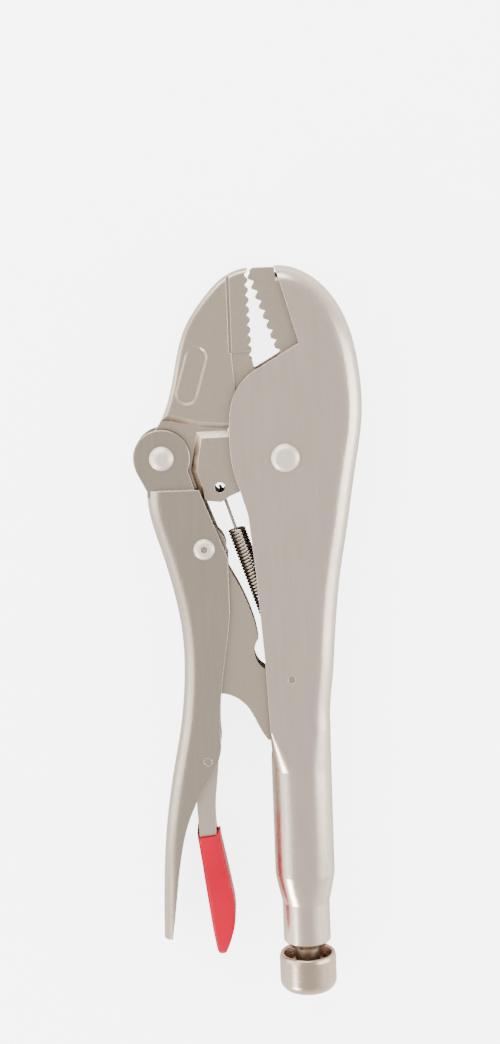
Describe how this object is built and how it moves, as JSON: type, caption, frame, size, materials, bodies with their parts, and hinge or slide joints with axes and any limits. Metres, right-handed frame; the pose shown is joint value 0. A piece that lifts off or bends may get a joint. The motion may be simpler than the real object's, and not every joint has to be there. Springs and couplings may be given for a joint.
{
  "type": "locking pliers",
  "caption": "Locking pliers with a toothed jaw, toggle link, release lever with a red sleeve, return spring and adjusting screw.",
  "frame": {"origin": "under the main pivot, on the flat top of the main rivet's lower head, the surface that the tool rests on", "axes": "+Y along the fixed handle towards the jaws, +X towards the spine of the fixed handle, +Z across the cheeks, up"},
  "size_m": [0.0755, 0.2492, 0.0204],
  "materials": {
    "nickel_sheet": "satin nickel plate on pressed steel sheet",
    "nickel_forged": "satin nickel plate on forged steel",
    "nickel_turned": "bright nickel plate on turned steel",
    "rivet_steel": "bright rivet steel",
    "spring_steel": "drawn spring wire",
    "screw_steel": "rolled thread, plated",
    "red_vinyl": "dipped vinyl, glossy"
  },
  "bodies": {
    "fixed_handle": {"fixed_handle": "nickel_sheet", "fixed_jaw": "nickel_forged", "main_rivet": "rivet_steel", "spring_pin": "rivet_steel", "return_spring": "spring_steel"},
    "moving_jaw": {"moving_jaw": "nickel_forged"},
    "moving_handle": {"moving_handle": "nickel_sheet", "jaw_handle_rivet": "rivet_steel", "link_rivet": "rivet_steel", "lever_pin": "rivet_steel"},
    "toggle_link": {"toggle_link": "nickel_forged"},
    "release_lever": {"release_lever": "nickel_sheet", "lever_grip": "red_vinyl"},
    "adjusting_screw": {"adjusting_screw": "screw_steel"},
    "screw_knob": {"screw_knob": "nickel_turned"}
  },
  "joints": [
    {"name": "jaw_pivot", "type": "hinge", "parent": "fixed_handle", "child": "moving_jaw", "pos_m": [0, 0, 0.0102], "axis": [0, 0, 1], "range_deg": [0, 16], "deforming": ["return_spring"]},
    {"name": "handle_pivot", "type": "hinge", "parent": "moving_jaw", "child": "moving_handle", "pos_m": [-0.0404, 0.001, 0.0102], "axis": [0, 0, 1], "range_deg": [-56, 0]},
    {"name": "link_pivot", "type": "hinge", "parent": "moving_handle", "child": "toggle_link", "pos_m": [-0.0276, -0.0292, 0.0102], "axis": [0, 0, 1], "range_deg": [0, 57.5]},
    {"name": "release_pivot", "type": "hinge", "parent": "moving_handle", "child": "release_lever", "pos_m": [-0.0292, -0.1011, 0.0102], "axis": [0, 0, 1], "range_deg": [-7, 3]},
    {"name": "screw_travel", "type": "slide", "parent": "fixed_handle", "child": "adjusting_screw", "axis": [0, -1, 0], "range_m": [0, 0.02]},
    {"name": "screw_turn", "type": "hinge", "parent": "adjusting_screw", "child": "screw_knob", "pos_m": [0.0021, -0.18, 0.0102], "axis": [0, -1, 0], "range_deg": [0, 4830]}
  ],
  "couplings": [
    {"joint": "handle_pivot", "follows": "jaw_pivot", "ratio": -3.474},
    {"joint": "link_pivot", "follows": "jaw_pivot", "ratio": 3.5719},
    {"joint": "screw_turn", "follows": "screw_travel", "rad_per_m": 4188.8}
  ]
}
